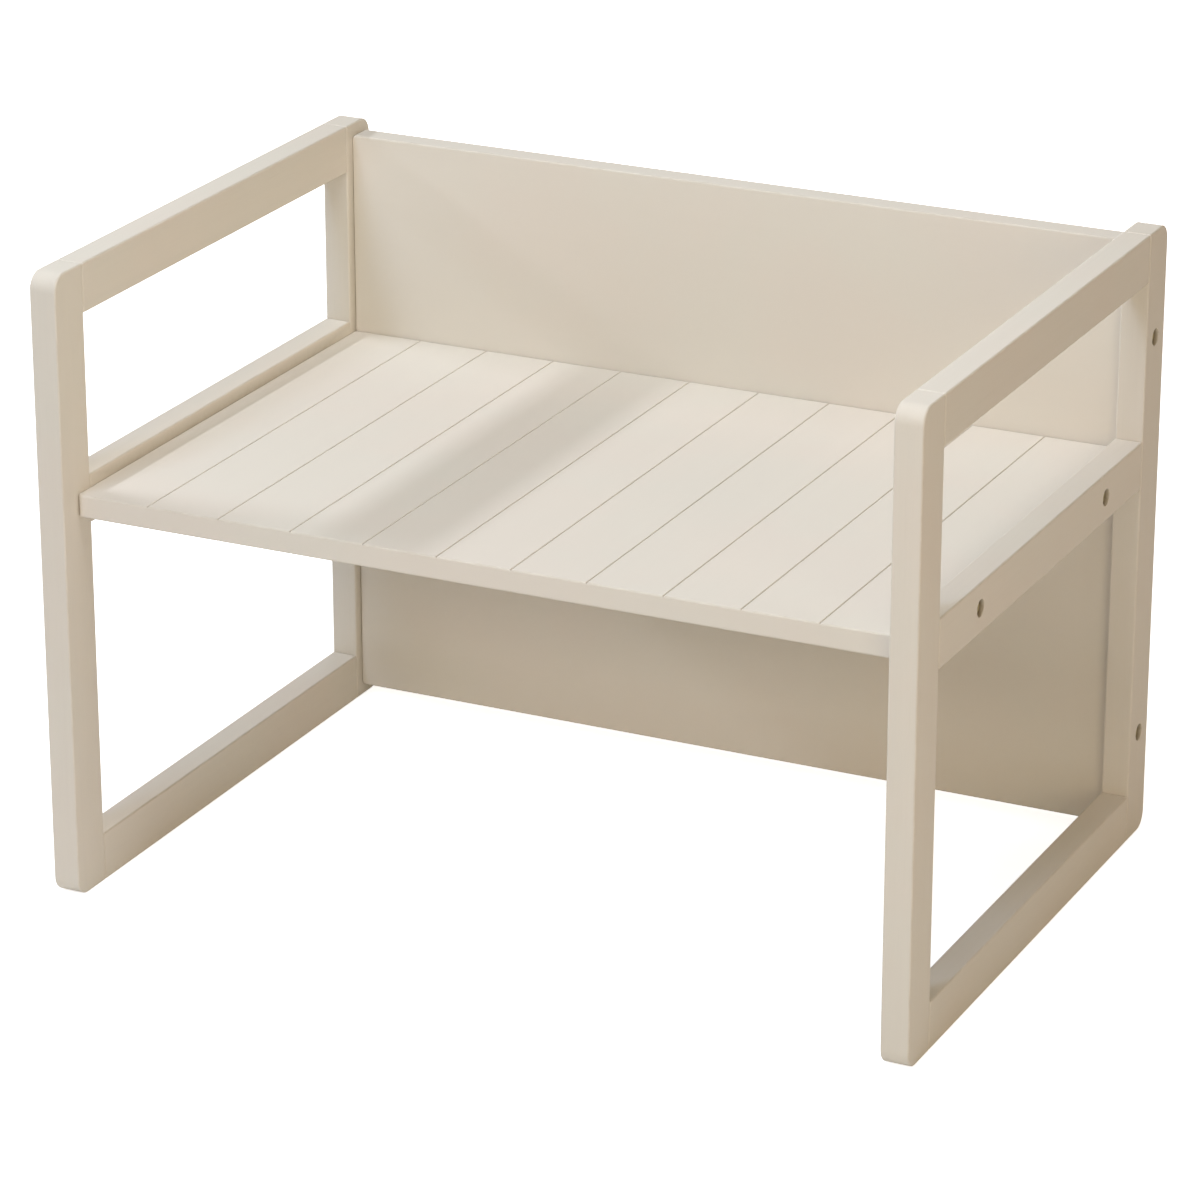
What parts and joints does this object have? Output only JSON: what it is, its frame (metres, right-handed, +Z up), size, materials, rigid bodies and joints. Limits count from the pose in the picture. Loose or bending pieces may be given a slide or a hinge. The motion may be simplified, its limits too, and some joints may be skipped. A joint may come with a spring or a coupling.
{
  "type": "turn-over bench",
  "caption": "Low lacquered wooden turn-over bench with open side frames, a grooved seat board between them and a plain back board.",
  "frame": {"origin": "on the floor under the middle of the bench's width and depth", "axes": "+X along the width towards the frame on the right as the bench is seen from the front, +Y from the front to the back board, +Z up"},
  "size_m": [0.64, 0.44, 0.45],
  "materials": {
    "frame_lacquer": "opaque warm beige lacquer on solid wood, satin, faint grain showing through",
    "board_lacquer": "opaque warm beige lacquer on smooth board, satin",
    "dowel_beech": "bare beech",
    "screw_steel": "zinc-plated steel, dull"
  },
  "bodies": {
    "root": {"left_front_stile": "frame_lacquer", "left_rear_stile": "frame_lacquer", "left_arm_rail": "frame_lacquer", "left_seat_rail": "frame_lacquer", "left_floor_rail": "frame_lacquer", "left_arm_rail_front_upper_dowel": "dowel_beech", "left_arm_rail_front_lower_dowel": "dowel_beech", "left_arm_rail_rear_upper_dowel": "dowel_beech", "left_arm_rail_rear_lower_dowel": "dowel_beech", "left_seat_rail_front_upper_dowel": "dowel_beech", "left_seat_rail_front_lower_dowel": "dowel_beech", "left_seat_rail_rear_upper_dowel": "dowel_beech", "left_seat_rail_rear_lower_dowel": "dowel_beech", "left_floor_rail_front_upper_dowel": "dowel_beech", "left_floor_rail_front_lower_dowel": "dowel_beech", "left_floor_rail_rear_upper_dowel": "dowel_beech", "left_floor_rail_rear_lower_dowel": "dowel_beech", "left_seat_screw_front": "screw_steel", "left_seat_screw_rear": "screw_steel", "left_back_screw_lower": "screw_steel", "left_back_screw_upper": "screw_steel", "right_front_stile": "frame_lacquer", "right_rear_stile": "frame_lacquer", "right_arm_rail": "frame_lacquer", "right_seat_rail": "frame_lacquer", "right_floor_rail": "frame_lacquer", "right_arm_rail_front_upper_dowel": "dowel_beech", "right_arm_rail_front_lower_dowel": "dowel_beech", "right_arm_rail_rear_upper_dowel": "dowel_beech", "right_arm_rail_rear_lower_dowel": "dowel_beech", "right_seat_rail_front_upper_dowel": "dowel_beech", "right_seat_rail_front_lower_dowel": "dowel_beech", "right_seat_rail_rear_upper_dowel": "dowel_beech", "right_seat_rail_rear_lower_dowel": "dowel_beech", "right_floor_rail_front_upper_dowel": "dowel_beech", "right_floor_rail_front_lower_dowel": "dowel_beech", "right_floor_rail_rear_upper_dowel": "dowel_beech", "right_floor_rail_rear_lower_dowel": "dowel_beech", "right_seat_screw_front": "screw_steel", "right_seat_screw_rear": "screw_steel", "right_back_screw_lower": "screw_steel", "right_back_screw_upper": "screw_steel", "seat_board": "board_lacquer", "back_board": "board_lacquer"}
  },
  "joints": []
}
